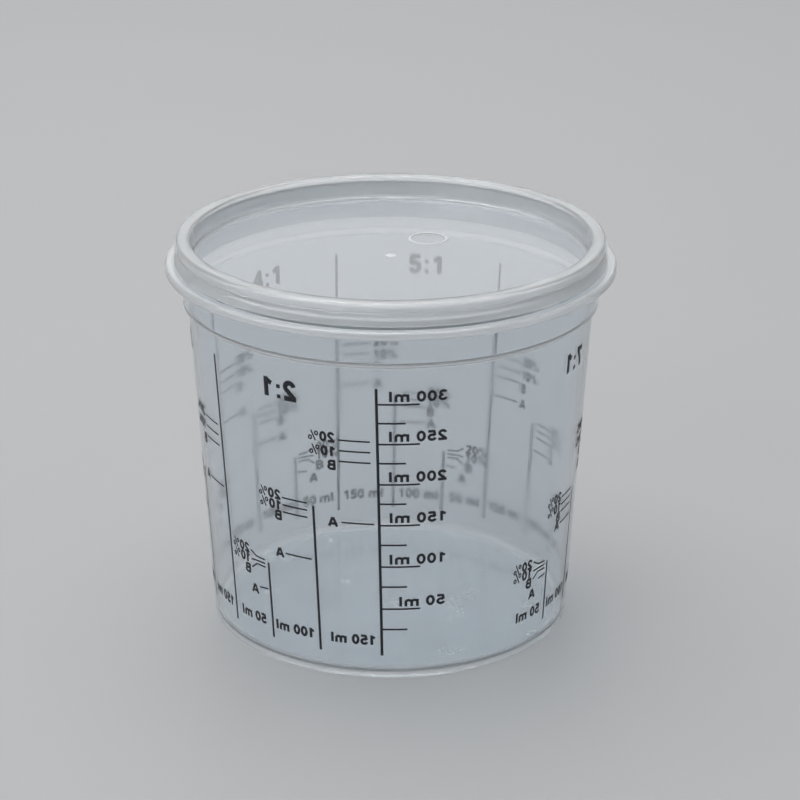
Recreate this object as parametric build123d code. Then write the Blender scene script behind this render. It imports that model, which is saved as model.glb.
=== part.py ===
from build123d import *
import os
from math import radians, tan

# A resin mixing cup with its press-fit lid pushed home.
# Both pieces are thin mouldings turned about +Z. The origin is the middle of the foot's underside.
# All lengths are in millimetres, and heights are measured up from the surface that the foot stands on.

# Cup, tapered body from the foot up
foot_diameter = 79.0
wall_height = 72.0
wall_flare = 4.4
wall_thickness = 1.0
floor_thickness = 1.2

# Cup, stacking step, shoulder and flange
step_width = 1.15
step_rise = 0.7
shoulder_height = 6.85
flange_thickness = 1.85
flange_width = 3.8

# Cup, rim that stands above the flange
rim_rise = 4.0
rim_thickness = 0.9

# Cup, snap bead round the outside of the rim
rim_bead_rise = 0.3
rim_bead_width = 0.55
rim_bead_drop = 0.75
rim_lead_in = 0.12

# Cup, underside
foot_ring_width = 2.4
foot_recess = 0.4
gate_well_diameter = 7.0
gate_well_depth = 0.3
gate_stub_diameter = 2.0
gate_stub_length = 0.2

# Lid, walls
roof_thickness = 1.0
skirt_thickness = 0.85
plug_thickness = 0.8
panel_thickness = 0.9

# Lid, depths and outside form
recess_depth = 4.95
skirt_line_depth = 1.95
skirt_line_step = 0.12
lip_flare = 0.6
lip_thickness = 0.8

# Lid, retaining bead round the inside of the skirt
skirt_bead_width = 0.5

# Lid, small marks on the sunk panel
gate_dot_diameter = 2.0
gate_dot_rise = 0.25
ring_mark_diameter = 8.6
ring_mark_width = 0.5
ring_mark_rise = 0.15
ring_mark_right = 8.2
ring_mark_back = 11.7

# Fits between cup and lid
seat_clearance = 0.3
snap_clearance = 0.15
bead_clearance = 0.35
plug_clearance = 0.2
lip_clearance = 0.45

# Drafts of the moulds, in degrees
shoulder_draft = 1.0
plug_draft = 1.5

# Roundings, as shares of the wall or step that they soften
edge_round_share = 0.4
lip_round_share = 0.35
root_round_share = 0.3
step_round_share = 0.35
rim_bead_round_share = 0.4
skirt_bead_round_share = 0.3
floor_corner_share = 1.2
crest_round_share = 0.75
ledge_lift_share = 0.6
bead_slope_share = 0.6


def draft_over(height, draft):
    """How far a drafted face leans outward over a height."""
    return height * tan(radians(draft))


# Cup, radii and heights that follow
foot_radius = foot_diameter / 2
floor_height = foot_recess + floor_thickness
wall_top_radius = foot_radius + wall_flare
wall_slope = wall_flare / wall_height
shoulder_radius = wall_top_radius + step_width
mouth_radius = shoulder_radius - wall_thickness
step_top = wall_height + step_rise
ledge_lift = wall_thickness * ledge_lift_share
flange_underside = step_top + shoulder_height
flange_height = flange_underside + flange_thickness
rim_radius = mouth_radius + rim_thickness
flange_radius = rim_radius + flange_width
rim_height = flange_height + rim_rise
rim_bead_top = rim_height - rim_bead_drop
rim_bead_foot = rim_bead_top - rim_bead_width - rim_bead_rise * bead_slope_share

# Lid, radii and heights that follow
roof_underside = rim_height + seat_clearance
crest_height = roof_underside + roof_thickness
skirt_inner_radius = rim_radius + rim_bead_rise + snap_clearance
skirt_radius = skirt_inner_radius + skirt_thickness
skirt_line_height = crest_height - skirt_line_depth
skirt_bead_height = rim_bead_foot - bead_clearance
lip_radius = skirt_radius + lip_flare
lip_height = flange_height + lip_clearance
plug_radius = mouth_radius - plug_clearance
recess_radius = plug_radius - plug_thickness
panel_height = crest_height - recess_depth
panel_underside = panel_height - panel_thickness


def turned(corners):
    """A solid turned about +Z from the corners of its section: radius, height and rounding."""
    outline = [(radius, height) for radius, height, rounding in corners]
    roundings = [rounding for radius, height, rounding in corners]
    with BuildPart() as moulding:
        with BuildSketch(Plane.XZ):
            with BuildLine():
                FilletPolyline(*outline, radius=roundings, close=True)
            make_face()
        revolve(axis=Axis.Z)
    return moulding.part


def foot_corners():
    """The underside of the cup, from the axis out to the foot: gate well, recess and foot ring."""
    well_roof = foot_recess + gate_well_depth
    stub_end = well_roof - gate_stub_length
    stub_radius = gate_stub_diameter / 2
    well_radius = gate_well_diameter / 2
    ring_inner_radius = foot_radius - foot_ring_width
    return [
        (0, stub_end, 0),
        (stub_radius, stub_end, 0),
        (stub_radius, well_roof, 0),
        (well_radius, well_roof, 0),
        (well_radius, foot_recess, 0),
        (ring_inner_radius - foot_recess, foot_recess, 0),
        (ring_inner_radius, 0, 0),
        (foot_radius, 0, wall_thickness * edge_round_share),
    ]


def wall_corners():
    """The outside of the cup, from the top of the tapered wall up to the root of the flange."""
    step_round = step_rise * step_round_share
    shoulder_lean = draft_over(flange_underside - step_top, shoulder_draft)
    return [
        (wall_top_radius, wall_height, step_round),
        (shoulder_radius, step_top, step_round),
        (shoulder_radius + shoulder_lean, flange_underside, wall_thickness * root_round_share),
    ]


def flange_corners():
    """The flange that stands out under the lid's lip."""
    edge_round = flange_thickness * edge_round_share
    return [
        (flange_radius, flange_underside, edge_round),
        (flange_radius, flange_height, edge_round),
        (rim_radius, flange_height, rim_thickness * root_round_share),
    ]


def rim_corners():
    """The rim above the flange: the snap bead outside, the rounded top and the top inner edge."""
    bead_round = rim_bead_rise * rim_bead_round_share
    top_round = rim_thickness * root_round_share
    return [
        (rim_radius, rim_bead_foot, bead_round),
        (rim_radius + rim_bead_rise, rim_bead_top - rim_bead_width, bead_round),
        (rim_radius + rim_bead_rise, rim_bead_top, bead_round),
        (rim_radius - rim_lead_in, rim_height, top_round),
        (mouth_radius, rim_height, top_round),
    ]


def inside_corners():
    """The inside of the cup, from the stacking ledge down to the middle of the floor."""
    step_round = step_rise * step_round_share
    floor_corner = wall_thickness * floor_corner_share
    wall_foot_radius = foot_radius + wall_slope * floor_height
    return [
        (mouth_radius, step_top + ledge_lift, step_round),
        (wall_top_radius - wall_thickness, wall_height + ledge_lift, step_round),
        (wall_foot_radius - wall_thickness, floor_height, floor_corner),
        (0, floor_height, 0),
    ]


def make_cup():
    """The cup: foot, tapered wall, stacking step, shoulder, flange and snap rim, in one moulding."""
    outside = foot_corners() + wall_corners() + flange_corners()
    return turned(outside + rim_corners() + inside_corners())


def plug_corners():
    """The underside of the lid, from the axis out: panel, plug wall and the roof over the rim."""
    plug_foot_lean = draft_over(roof_underside - panel_underside, plug_draft)
    return [
        (0, panel_underside, 0),
        (plug_radius - plug_foot_lean, panel_underside, plug_thickness * crest_round_share),
        (plug_radius, roof_underside, 0),
        (skirt_inner_radius, roof_underside, 0),
    ]


def skirt_inside_corners():
    """The inside of the skirt, from the roof down past the retaining bead to the lip."""
    lip_inner_radius = lip_radius - lip_thickness
    bead_round = skirt_bead_width * skirt_bead_round_share
    bead_rise = lip_inner_radius - skirt_inner_radius
    groove_depth = bead_rise * edge_round_share
    groove_height = skirt_bead_height + skirt_bead_width + groove_depth
    return [
        (skirt_inner_radius, groove_height + groove_depth, bead_round),
        (skirt_inner_radius + groove_depth, groove_height, bead_round),
        (skirt_inner_radius, skirt_bead_height, bead_round),
        (lip_inner_radius, skirt_bead_height - skirt_bead_width, bead_round),
        (lip_inner_radius, lip_height, lip_thickness * lip_round_share),
    ]


def skirt_outside_corners():
    """The outside of the lid, from the lip up over the crest and down into the recess."""
    line_radius = skirt_radius + skirt_line_step
    return [
        (lip_radius, lip_height, lip_thickness * lip_round_share),
        (line_radius, skirt_line_height - skirt_line_step, 0),
        (skirt_radius, skirt_line_height, 0),
        (skirt_radius, crest_height, skirt_thickness * crest_round_share),
        (recess_radius, crest_height, plug_thickness * crest_round_share),
    ]


def panel_corners():
    """The sunk panel's upper side, from the foot of the recess to the gate dot in the middle."""
    recess_lean = draft_over(recess_depth, plug_draft)
    dot_radius = gate_dot_diameter / 2
    return [
        (recess_radius - recess_lean, panel_height, panel_thickness * crest_round_share),
        (dot_radius, panel_height, 0),
        (dot_radius - gate_dot_rise, panel_height + gate_dot_rise, 0),
        (0, panel_height + gate_dot_rise, 0),
    ]


def ring_mark():
    """The small raised ring that the mould leaves on the sunk panel, rooted in the panel."""
    mark_radius = ring_mark_diameter / 2
    with BuildPart() as mark:
        with BuildSketch(Plane.XY.offset(panel_height - ring_mark_rise)):
            with Locations((ring_mark_right, ring_mark_back)):
                Circle(mark_radius)
                Circle(mark_radius - ring_mark_width, mode=Mode.SUBTRACT)
        extrude(amount=ring_mark_rise + ring_mark_rise)
    return mark.part


def make_lid():
    """The lid: crest, skirt with lip and retaining bead, plug wall and sunk panel, in one moulding."""
    underside = plug_corners() + skirt_inside_corners()
    shell = turned(underside + skirt_outside_corners() + panel_corners())
    return shell + ring_mark()


os.makedirs("parts", exist_ok=True)
export_step(make_cup(), "parts/cup.step")
export_step(make_lid(), "parts/lid.step")
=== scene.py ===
"""A resin mixing cup of milky clear plastic with its press-fit lid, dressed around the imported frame.

The two mouldings are turned from the same sections as the solids, with their soft edges and true
normals, because clear plastic shows every facet. The printed scale is made of thin ink films wrapped
on the tapered wall. Lengths are in millimetres until a mesh is written, and angles in degrees.
"""

import logging
import math
from dataclasses import dataclass, field
from enum import Enum, IntEnum
from typing import Callable, NamedTuple, Sequence

import bpy
import numpy as np
from mathutils import Euler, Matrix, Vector


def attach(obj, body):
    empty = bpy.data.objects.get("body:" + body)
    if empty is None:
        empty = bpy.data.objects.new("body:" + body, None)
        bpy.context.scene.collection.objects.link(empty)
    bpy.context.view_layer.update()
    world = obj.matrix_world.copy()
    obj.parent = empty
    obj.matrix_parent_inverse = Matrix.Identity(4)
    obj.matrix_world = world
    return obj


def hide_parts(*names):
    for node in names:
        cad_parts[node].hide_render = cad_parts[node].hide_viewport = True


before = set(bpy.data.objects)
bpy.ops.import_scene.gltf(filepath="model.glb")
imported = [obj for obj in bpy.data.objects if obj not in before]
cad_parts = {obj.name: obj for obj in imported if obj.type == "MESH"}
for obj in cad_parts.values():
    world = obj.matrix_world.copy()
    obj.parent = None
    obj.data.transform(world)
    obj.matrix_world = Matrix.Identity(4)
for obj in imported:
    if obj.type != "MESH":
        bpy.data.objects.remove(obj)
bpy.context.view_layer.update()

MM = 0.001

# Roundings of corners, as shares of the wall, step or bead that they soften
EDGE_ROUND = 0.4
STEP_ROUND = 0.35
ROOT_ROUND = 0.3
CREST_ROUND = 0.75

# Rounding of corners that are sharp in the solids, and the least height that counts, in millimetres
SOFT_EDGE = 0.08
LEAST_HEIGHT = 1e-6

Piece = bpy.types.Object
Material = bpy.types.Material
Socket = bpy.types.NodeSocket
log = logging.getLogger("mixing_cup")


class Slot(Enum):
    """The record's material slots."""

    CUP = "cup_plastic"
    LID = "lid_plastic"
    INK = "scale_ink"


class Zone(IntEnum):
    """Which of a moulding's finishes a stretch takes: thin, thick or flat plastic, or a mould mark."""

    THIN = 0
    THICK = 1
    FLAT = 2
    MARK = 3


class Corner(NamedTuple):
    """A corner of a turned section: radius, height, rounding, and the zone from here on."""

    radius: float
    height: float
    rounding: float = 0.0
    zone: Zone = Zone.THICK


def draft_over(height: float, draft: float) -> float:
    """How far a face with this draft, in degrees, leans outward over a height."""
    return height * math.tan(math.radians(draft))


@dataclass(frozen=True)
class Stations:
    """The points of a turned section in order, as whole arrays.

    Attributes:
        radius: distance from the circle's own centre.
        height: height above the foot.
        arriving: heading of the run that ends here, in radians from the outward direction.
        leaving: heading of the run that starts here.
        zone: finish of the run that starts here.
        shift: how far the circle's centre has moved off the axis, as a share of a given offset.
    """

    radius: np.ndarray
    height: np.ndarray
    arriving: np.ndarray
    leaving: np.ndarray
    zone: np.ndarray
    shift: np.ndarray

    def followed_by(self, other: "Stations") -> "Stations":
        """These stations and then the others."""
        names = self.__dataclass_fields__
        return Stations(*(np.concatenate([getattr(self, n), getattr(other, n)]) for n in names))

    def divided(self, longest: float) -> "Stations":
        """Splits each run into equal steps no longer than this, with the run's own heading.

        Args:
            longest: longest step in millimetres.

        Returns:
            The stations with the extra points, each the start of its run plus its share of it.
        """
        length = np.hypot(np.diff(self.radius), np.diff(self.height))
        steps = np.maximum(np.ceil(length / longest), 1).astype(int)
        run = np.repeat(np.arange(len(length)), steps)
        share = (np.arange(len(run)) - np.repeat(np.cumsum(steps) - steps, steps)) / steps[run]

        def along(values: np.ndarray) -> np.ndarray:
            """The values at the extra points too."""
            inner = values[run] + share * (values[run + 1] - values[run])
            return np.append(inner, values[-1])

        arriving = np.where(share > 0, self.leaving[run], self.arriving[run])
        return Stations(
            along(self.radius),
            along(self.height),
            np.append(arriving, self.arriving[-1]),
            np.append(self.leaving[run], self.leaving[-1]),
            np.append(self.zone[run], self.zone[-1]),
            along(self.shift),
        )


def rounded_stations(corners: Sequence[Corner], steps: int, shift: float = 0.0) -> Stations:
    """Rounds the corners of a section and gives each point its headings.

    At a corner that turns by an angle, the arc starts before the corner by its rounding times the
    tangent of half the angle. Its points lie one rounding from its centre, as the heading swings
    evenly from the first run to the second.

    Args:
        corners: the section's corners, with the plastic on the left of the way along them.
        steps: number of steps in each arc.
        shift: the same value for every station's shift.

    Returns:
        The stations of the rounded section.
    """
    places = np.array([(c.radius, c.height) for c in corners])
    runs = np.diff(places, axis=0)
    angles = np.arctan2(runs[:, 1], runs[:, 0])
    tables = []
    for number, corner in enumerate(corners):
        before = angles[max(number - 1, 0)]
        after = angles[min(number, len(angles) - 1)]
        turn = (after - before + math.pi) % (2 * math.pi) - math.pi
        if corner.rounding == 0:
            tables.append(np.array([[*places[number], before, after, corner.zone]]))
            continue
        swing = before + turn * np.linspace(0, 1, steps + 1)
        side = math.copysign(corner.rounding, turn)
        start = places[number] - abs(side * math.tan(turn / 2)) * heading_of(before)
        centre = start + side * left_of(before)
        arc = centre - side * left_of(swing)
        zones = np.full(len(swing), corner.zone)
        tables.append(np.column_stack([arc, swing, swing, zones]))
    table = np.concatenate(tables)
    return Stations(*table[:, :4].T, table[:, 4].astype(int), np.full(len(table), float(shift)))


def heading_of(angle: np.ndarray) -> np.ndarray:
    """The unit vector along a heading: its cosine outward and its sine upward."""
    return np.stack([np.cos(angle), np.sin(angle)], axis=-1)


def left_of(angle: np.ndarray) -> np.ndarray:
    """The unit vector to the left of a heading."""
    return np.stack([-np.sin(angle), np.cos(angle)], axis=-1)


def write_mesh(
    name: str,
    points: np.ndarray,
    corners: np.ndarray,
    counts: np.ndarray,
    normals: np.ndarray | None = None,
    zones: np.ndarray | None = None,
) -> Piece:
    """Puts whole arrays into a new mesh object that sits at the origin.

    Args:
        name: name of the object and its mesh.
        points: vertex places in millimetres, one row each.
        corners: vertex numbers of all faces, one face after another.
        counts: number of corners of each face.
        normals: one normal for each face corner, or None for flat faces.
        zones: one material number for each face, or None for zero.

    Returns:
        The new object, linked to the scene.
    """
    mesh = bpy.data.meshes.new(name)
    mesh.vertices.add(len(points))
    mesh.vertices.foreach_set("co", (points * MM).astype(np.float32).ravel())
    mesh.loops.add(len(corners))
    mesh.loops.foreach_set("vertex_index", corners.astype(np.int32))
    mesh.polygons.add(len(counts))
    mesh.polygons.foreach_set("loop_start", (np.cumsum(counts) - counts).astype(np.int32))
    if zones is not None:
        mesh.polygons.foreach_set("material_index", zones.astype(np.int32))
    mesh.update(calc_edges=True)
    mesh.validate()
    if normals is not None:
        mesh.polygons.foreach_set("use_smooth", np.ones(len(counts), bool))
        mesh.normals_split_custom_set(normals)
    piece = bpy.data.objects.new(name, mesh)
    bpy.context.scene.collection.objects.link(piece)
    return piece


Relief = Callable[[np.ndarray, np.ndarray], tuple[np.ndarray, np.ndarray, np.ndarray]]


def turned_piece(
    name: str,
    stations: Stations,
    segments: int,
    offset: tuple[float, float] = (0.0, 0.0),
    relief: Relief | None = None,
) -> Piece:
    """Turns a section that starts and ends on an axis into a closed shell.

    A point is its circle's centre plus the radius times the cosine and sine of the turn, at the
    station's height. The circle's centre is the station's shift times the offset. The normal at a
    heading is the sine of the heading outward and minus its cosine upward, tilted by the relief.

    Args:
        name: name of the piece.
        stations: the section, from the lower pole to the upper one.
        segments: number of steps round the turn.
        offset: place of the circles' centre where the shift is one.
        relief: height and its slopes in x and y at a place, for stations with a shift. What it
            raises by more than the least height is a mould mark.

    Returns:
        The shell, with one normal for each face corner.
    """
    turn = 2 * np.pi * np.arange(segments) / segments
    across, along = np.cos(turn), np.sin(turn)
    x = stations.shift[:, None] * offset[0] + stations.radius[:, None] * across
    y = stations.shift[:, None] * offset[1] + stations.radius[:, None] * along
    z = np.repeat(stations.height[:, None], segments, axis=1)
    height, slope_x, slope_y = np.zeros_like(x), np.zeros_like(x), np.zeros_like(x)
    if relief is not None:
        shifted = (stations.shift > 0)[:, None]
        height, slope_x, slope_y = (shifted * values for values in relief(x, y))
        z = z + height
    grid = np.stack([x, y, z], axis=-1)
    points = np.concatenate([grid[0, :1], grid[1:-1].reshape(-1, 3), grid[-1, :1]])

    last = len(points) - 1
    numbers = np.concatenate([
        np.zeros((1, segments), int),
        np.arange(1, last).reshape(-1, segments),
        np.full((1, segments), last),
    ])

    def at_corners(values: np.ndarray) -> np.ndarray:
        """The values at the four corners of each face."""
        turned = np.roll(values, -1, axis=1)
        return np.stack([values[:-1], turned[:-1], turned[1:], values[1:]], axis=2)

    headings = np.stack([stations.leaving[:-1]] * 2 + [stations.arriving[1:]] * 2, axis=-1)
    outward, upward = np.sin(headings)[:, None, :], -np.cos(headings)[:, None, :]
    turns = at_corners(np.repeat(turn[None, :], len(stations.radius), axis=0))
    normals = np.stack([
        outward * np.cos(turns) - at_corners(slope_x),
        outward * np.sin(turns) - at_corners(slope_y),
        np.repeat(upward, segments, axis=1),
    ], axis=-1)
    normals /= np.linalg.norm(normals, axis=-1, keepdims=True)

    quads = at_corners(numbers)
    keep = np.ones(quads.shape, bool)
    keep[0, :, 1] = False
    keep[-1, :, 3] = False
    raised = at_corners(height).max(axis=2) > LEAST_HEIGHT
    zones = np.where(raised, int(Zone.MARK), stations.zone[:-1, None]).ravel()
    return write_mesh(name, points, quads[keep], keep.sum(axis=2).ravel(), normals[keep], zones)


@dataclass
class Cup:
    """The cup: foot, tapered wall, stacking step, shoulder, flange and snap rim, in one moulding."""

    foot_diameter: float = 79.0
    wall_height: float = 72.0
    wall_flare: float = 4.4
    wall_thickness: float = 1.0
    floor_thickness: float = 1.2
    step_width: float = 1.15
    step_rise: float = 0.7
    shoulder_height: float = 6.85
    shoulder_draft: float = 1.0
    flange_thickness: float = 1.85
    flange_width: float = 3.8
    rim_rise: float = 4.0
    rim_thickness: float = 0.9
    bead_rise: float = 0.3
    bead_width: float = 0.55
    bead_drop: float = 0.75
    bead_slope_share: float = 0.6
    rim_lead_in: float = 0.12
    foot_ring_width: float = 2.4
    foot_recess: float = 0.4
    gate_well_diameter: float = 7.0
    gate_well_depth: float = 0.3
    gate_stub_diameter: float = 2.0
    gate_stub_length: float = 0.2
    ledge_lift: float = 0.6
    floor_corner: float = 1.2
    arc_steps: int = 6
    longest_step: float = 5.0
    segments: int = 320
    piece: Piece = field(init=False, default=None)

    def __post_init__(self) -> None:
        """Works out the radii and heights that follow from the sizes."""
        self.foot_radius = self.foot_diameter / 2
        self.wall_slope = self.wall_flare / self.wall_height
        self.floor_height = self.foot_recess + self.floor_thickness
        self.step_top = self.wall_height + self.step_rise
        self.mouth_radius = self.foot_radius + self.wall_flare + self.step_width - self.wall_thickness
        self.rim_radius = self.mouth_radius + self.rim_thickness
        self.flange_height = self.step_top + self.shoulder_height + self.flange_thickness
        self.rim_height = self.flange_height + self.rim_rise
        bead_slope = self.bead_rise * self.bead_slope_share
        self.bead_foot = self.rim_height - self.bead_drop - self.bead_width - bead_slope

    def radius_at(self, height: float) -> float:
        """Outside radius of the tapered wall at a height."""
        return self.foot_radius + self.wall_slope * height

    def underside(self) -> list[Corner]:
        """The underside: gate stub and well, recess and foot ring.

        Returns:
            The corners from the axis out to the foot, and the start of the wall's thin stretch.
        """
        well_roof = self.foot_recess + self.gate_well_depth
        stub_end = well_roof - self.gate_stub_length
        stub_radius = self.gate_stub_diameter / 2
        well_radius = self.gate_well_diameter / 2
        ring_inner = self.foot_radius - self.foot_ring_width
        return [
            Corner(0, stub_end, zone=Zone.FLAT),
            Corner(stub_radius, stub_end, SOFT_EDGE, Zone.FLAT),
            Corner(stub_radius, well_roof, SOFT_EDGE, Zone.FLAT),
            Corner(well_radius, well_roof, SOFT_EDGE, Zone.FLAT),
            Corner(well_radius, self.foot_recess, SOFT_EDGE, Zone.FLAT),
            Corner(ring_inner - self.foot_recess, self.foot_recess, SOFT_EDGE * 2, Zone.FLAT),
            Corner(ring_inner, 0, SOFT_EDGE * 2),
            Corner(self.foot_radius, 0, self.wall_thickness * EDGE_ROUND),
            Corner(self.radius_at(self.floor_height), self.floor_height, zone=Zone.THIN),
        ]

    def outside(self) -> list[Corner]:
        """The outside from the top of the tapered wall: step, shoulder and flange.

        Returns:
            The corners from the wall's top up to the root of the rim.
        """
        wall_top = self.foot_radius + self.wall_flare
        shoulder = wall_top + self.step_width
        first_lean = draft_over(self.step_rise, self.shoulder_draft)
        lean = draft_over(self.shoulder_height, self.shoulder_draft)
        underside = self.step_top + self.shoulder_height
        step_round = self.step_rise * STEP_ROUND
        flange_radius = self.rim_radius + self.flange_width
        flange_round = self.flange_thickness * EDGE_ROUND
        return [
            Corner(wall_top, self.wall_height, step_round),
            Corner(shoulder, self.step_top, step_round),
            Corner(shoulder + first_lean, self.step_top + self.step_rise, zone=Zone.THIN),
            Corner(shoulder + lean, underside, self.wall_thickness * ROOT_ROUND),
            Corner(flange_radius, underside, flange_round),
            Corner(flange_radius, self.flange_height, flange_round),
            Corner(flange_radius - flange_round * 2, self.flange_height, zone=Zone.THIN),
            Corner(self.rim_radius, self.flange_height, self.rim_thickness * ROOT_ROUND),
        ]

    def rim(self) -> list[Corner]:
        """The snap bead and the top of the rim.

        Returns:
            The corners from the bead's foot over the rim to the mouth.
        """
        bead_radius = self.rim_radius + self.bead_rise
        bead_top = self.rim_height - self.bead_drop
        bead_round = self.bead_rise * EDGE_ROUND
        top_round = self.rim_thickness * ROOT_ROUND
        return [
            Corner(self.rim_radius, self.bead_foot, bead_round),
            Corner(bead_radius, bead_top - self.bead_width, bead_round),
            Corner(bead_radius, bead_top, bead_round),
            Corner(self.rim_radius - self.rim_lead_in, self.rim_height, top_round),
            Corner(self.mouth_radius, self.rim_height, top_round, Zone.THIN),
        ]

    def inside(self) -> list[Corner]:
        """The inside: stacking ledge, wall and floor.

        Returns:
            The corners from the ledge down to the middle of the floor.
        """
        ledge_height = self.wall_height + self.ledge_lift
        step_round = self.step_rise * STEP_ROUND
        wall_top = self.foot_radius + self.wall_flare - self.wall_thickness
        wall_foot = self.radius_at(self.floor_height) - self.wall_thickness
        return [
            Corner(self.mouth_radius, ledge_height + self.step_rise, step_round),
            Corner(wall_top, ledge_height, step_round, Zone.THIN),
            Corner(wall_foot, self.floor_height, self.floor_corner),
            Corner(self.foot_radius - self.foot_ring_width, self.floor_height, zone=Zone.FLAT),
            Corner(0, self.floor_height, zone=Zone.FLAT),
        ]

    def build(self) -> Piece:
        """Turns the whole section.

        Returns:
            The cup's shell.
        """
        corners = self.underside() + self.outside() + self.rim() + self.inside()
        stations = rounded_stations(corners, self.arc_steps).divided(self.longest_step)
        self.piece = turned_piece("cup_moulding", stations, self.segments)
        return self.piece

    def dress(self, finishes: Sequence[Material]) -> None:
        """Gives the shell its finishes and ties it to the cup's body.

        Args:
            finishes: one material for each zone, in the order of the zones.
        """
        for finish in finishes:
            self.piece.data.materials.append(finish)
        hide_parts("cup")
        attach(self.piece, "cup")


@dataclass
class Lid:
    """The lid: crest, skirt with lip and retaining bead, plug wall and sunk panel, in one moulding."""

    cup: Cup
    seat_clearance: float = 0.3
    snap_clearance: float = 0.15
    bead_clearance: float = 0.35
    plug_clearance: float = 0.2
    lip_clearance: float = 0.45
    roof_thickness: float = 1.0
    skirt_thickness: float = 0.85
    plug_thickness: float = 0.8
    panel_thickness: float = 0.9
    plug_draft: float = 1.5
    recess_depth: float = 4.95
    line_depth: float = 1.95
    line_step: float = 0.12
    line_round: float = 0.03
    lip_flare: float = 0.6
    lip_thickness: float = 0.8
    bead_width: float = 0.5
    gate_dot_diameter: float = 2.0
    gate_dot_rise: float = 0.25
    ring_mark_diameter: float = 8.6
    ring_mark_width: float = 0.5
    ring_mark_rise: float = 0.15
    ring_mark_slope_share: float = 0.3
    ring_mark_place: tuple[float, float] = (8.2, 11.7)
    ring_field: float = 6.0
    dot_field_share: float = 0.6
    flat_from: float = 1.5
    arc_steps: int = 6
    longest_step: float = 5.0
    ring_step: float = 1.25
    panel_steps: tuple[int, int, int] = (10, 21, 5)
    segments: int = 320
    piece: Piece = field(init=False, default=None)

    def __post_init__(self) -> None:
        """Works out the radii and heights that follow from the sizes and from the cup."""
        self.roof_underside = self.cup.rim_height + self.seat_clearance
        self.crest_height = self.roof_underside + self.roof_thickness
        self.panel_height = self.crest_height - self.recess_depth
        self.plug_radius = self.cup.mouth_radius - self.plug_clearance
        self.recess_radius = self.plug_radius - self.plug_thickness
        self.skirt_inner = self.cup.rim_radius + self.cup.bead_rise + self.snap_clearance

    def underside(self) -> list[Corner]:
        """The underside: panel, plug wall and the channel's roof.

        Returns:
            The corners from the axis out and up to the skirt.
        """
        panel_underside = self.panel_height - self.panel_thickness
        lean = draft_over(self.roof_underside - panel_underside, self.plug_draft)
        plug_round = self.plug_thickness * CREST_ROUND
        return [
            Corner(0, panel_underside, zone=Zone.FLAT),
            Corner(self.plug_radius - lean, panel_underside, plug_round, Zone.THIN),
            Corner(self.plug_radius, self.roof_underside, SOFT_EDGE),
            Corner(self.skirt_inner, self.roof_underside, SOFT_EDGE),
        ]

    def skirt(self) -> list[Corner]:
        """The skirt: retaining bead with the groove above it, lip, outside line and crest.

        Returns:
            The corners down the inside of the skirt, round the lip and up over the crest.
        """
        skirt_radius = self.skirt_inner + self.skirt_thickness
        lip_radius = skirt_radius + self.lip_flare
        lip_inner = lip_radius - self.lip_thickness
        lip_height = self.cup.flange_height + self.lip_clearance
        lip_round = self.lip_thickness * STEP_ROUND
        bead_height = self.cup.bead_foot - self.bead_clearance
        bead_round = self.bead_width * ROOT_ROUND
        groove_depth = (lip_inner - self.skirt_inner) * EDGE_ROUND
        groove_height = bead_height + self.bead_width + groove_depth
        line_radius = skirt_radius + self.line_step
        line_height = self.crest_height - self.line_depth
        return [
            Corner(self.skirt_inner, groove_height + groove_depth, bead_round),
            Corner(self.skirt_inner + groove_depth, groove_height, bead_round),
            Corner(self.skirt_inner, bead_height, bead_round),
            Corner(lip_inner, bead_height - self.bead_width, bead_round),
            Corner(lip_inner, lip_height, lip_round),
            Corner(lip_radius, lip_height, lip_round),
            Corner(line_radius, line_height - self.line_step, self.line_round),
            Corner(skirt_radius, line_height, self.line_round),
            Corner(skirt_radius, self.crest_height, self.skirt_thickness * CREST_ROUND),
            Corner(self.recess_radius, self.crest_height, self.plug_thickness * CREST_ROUND, Zone.THIN),
        ]

    def recess_foot(self) -> list[Corner]:
        """The recess's foot and the flat edge of the panel.

        Returns:
            The corner at the foot and the place where the flat finish starts.
        """
        foot_radius = self.recess_radius - draft_over(self.recess_depth, self.plug_draft)
        rounding = self.panel_thickness * CREST_ROUND
        return [
            Corner(foot_radius, self.panel_height, rounding),
            Corner(foot_radius - rounding * self.flat_from, self.panel_height, zone=Zone.FLAT),
        ]

    def ring_mark(self) -> list[Corner]:
        """The raised ring about its own centre.

        Returns:
            The corners from the ring's field in to its centre.
        """
        outer = self.ring_mark_diameter / 2
        inner = outer - self.ring_mark_width
        top = self.panel_height + self.ring_mark_rise
        soft = self.ring_mark_rise * EDGE_ROUND
        slope = self.ring_mark_rise * self.ring_mark_slope_share
        return [
            Corner(self.ring_field, self.panel_height, zone=Zone.FLAT),
            Corner(outer, self.panel_height, soft, Zone.MARK),
            Corner(outer - slope, top, soft, Zone.MARK),
            Corner(inner + slope, top, soft, Zone.MARK),
            Corner(inner, self.panel_height, soft, Zone.FLAT),
            Corner(0, self.panel_height, zone=Zone.FLAT),
        ]

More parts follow.
